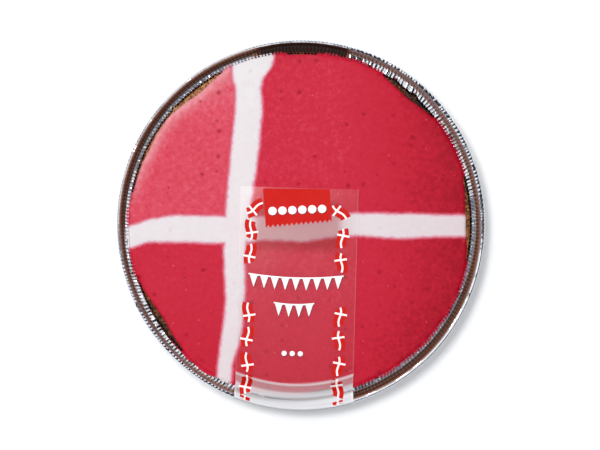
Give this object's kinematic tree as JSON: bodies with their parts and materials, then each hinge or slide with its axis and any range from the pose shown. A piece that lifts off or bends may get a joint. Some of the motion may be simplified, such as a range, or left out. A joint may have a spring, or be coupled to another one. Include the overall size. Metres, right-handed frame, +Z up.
{
  "type": "iced chocolate cake in a foil tray",
  "caption": "Round chocolate cake with red icing and an off-centre white cross, in a crimped foil tray under a clear lid with a strip of printed film.",
  "frame": {"origin": "centre of the tray's flat base, on the surface that it stands on", "axes": "+Z up out of the tray, -Y towards the end of the film that runs over the rim, +X to the right in the picture"},
  "size_m": [0.1826, 0.1833, 0.034],
  "materials": {
    "pressed_foil": "bright pressed foil, crimped in fine radial pleats",
    "chocolate_sponge": "dry dark baked crumb",
    "red_icing": "smooth set sugar icing, satin, with small darker spots",
    "white_icing": "smooth set sugar icing, satin, pink where it meets the red",
    "clear_plastic": "clear thermoformed sheet, glossy",
    "printed_film": "clear label film with red and white print, slightly hazy"
  },
  "bodies": {
    "root": {"foil_tray": "pressed_foil", "chocolate_sponge": "chocolate_sponge", "red_icing": "red_icing", "white_cross": "white_icing", "clear_lid": "clear_plastic", "film_label": "printed_film"}
  },
  "joints": []
}
